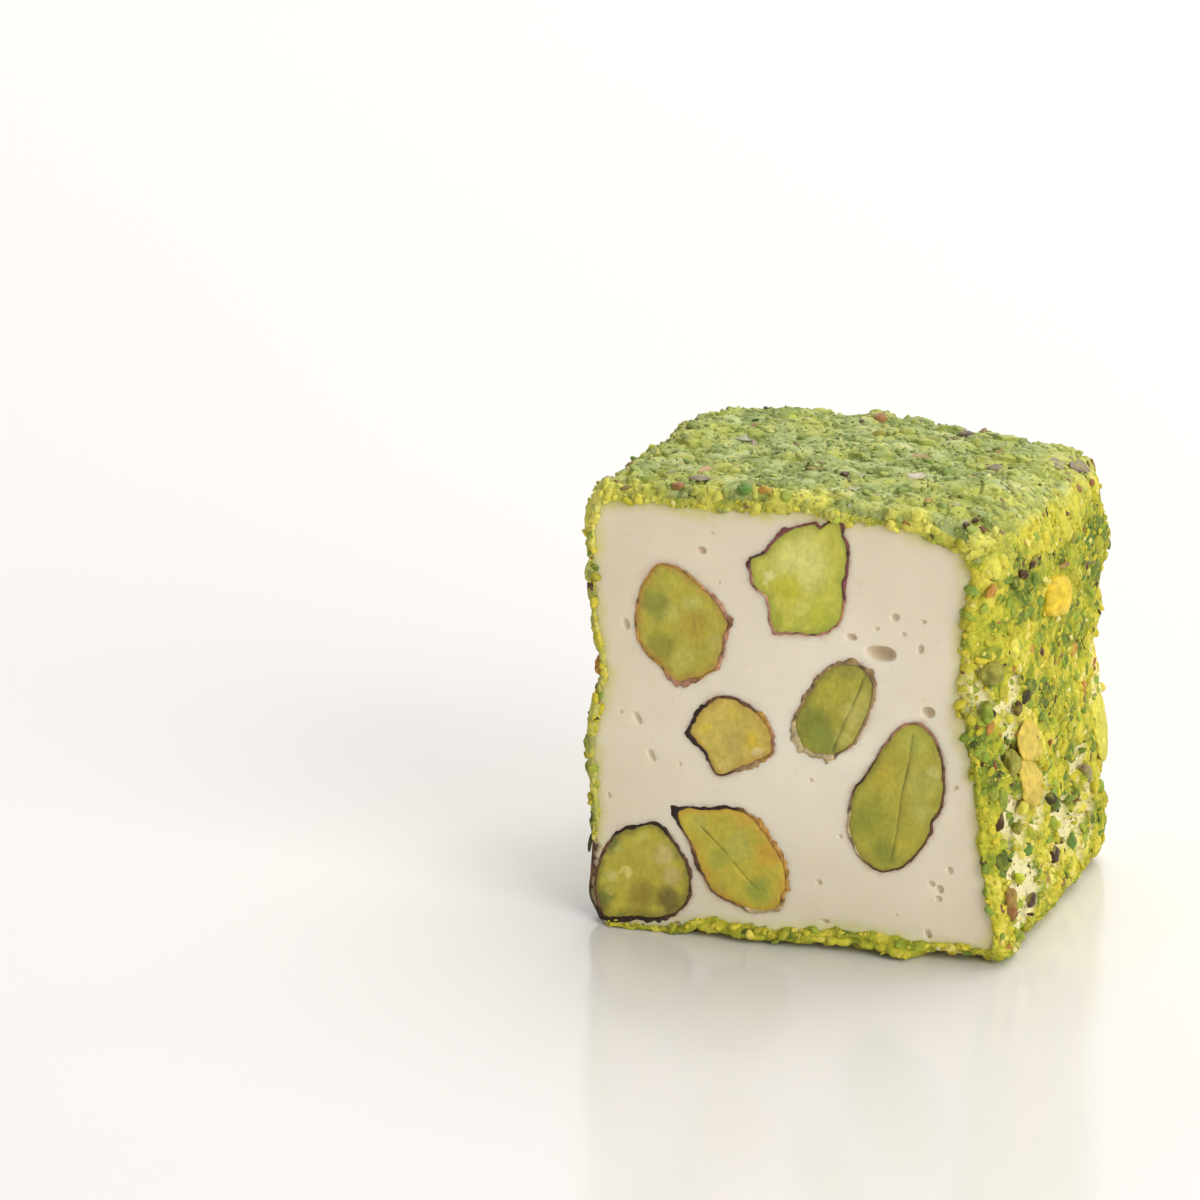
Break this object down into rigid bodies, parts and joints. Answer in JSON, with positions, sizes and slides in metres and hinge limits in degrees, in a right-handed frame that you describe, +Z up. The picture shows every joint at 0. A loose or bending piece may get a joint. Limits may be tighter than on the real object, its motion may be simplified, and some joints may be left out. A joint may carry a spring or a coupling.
{
  "type": "turkish delight",
  "caption": "Block of white nougat-style turkish delight holding whole pistachio kernels, coated on its long sides in ground pistachio, bare on its cut ends.",
  "frame": {"origin": "middle of the underside, on the surface that the block stands on", "axes": "+Z up; +Y along the bar that the block was cut from, so the shown cut face looks along -Y; +X to the right as that face is looked at"},
  "size_m": [0.0375, 0.029, 0.0379],
  "materials": {
    "nougat": "soft, matt, slightly see-through milk-white nougat, cut with a knife",
    "ground_pistachio": "matt crumbly coat of ground pistachio, yellow-green with dark green, brown and purple flecks",
    "pistachio_kernel": "waxy cut pistachio kernel, yellow-green, with a thin dark purple-brown skin"
  },
  "bodies": {
    "root": {"nougat_core": "nougat", "pistachio_coat": "ground_pistachio", "pistachio_1": "pistachio_kernel", "pistachio_2": "pistachio_kernel", "pistachio_3": "pistachio_kernel", "pistachio_4": "pistachio_kernel", "pistachio_5": "pistachio_kernel", "pistachio_6": "pistachio_kernel", "pistachio_7": "pistachio_kernel", "pistachio_back_1": "pistachio_kernel", "pistachio_back_2": "pistachio_kernel", "pistachio_back_3": "pistachio_kernel", "pistachio_back_4": "pistachio_kernel", "pistachio_back_5": "pistachio_kernel", "pistachio_back_6": "pistachio_kernel"}
  },
  "joints": []
}
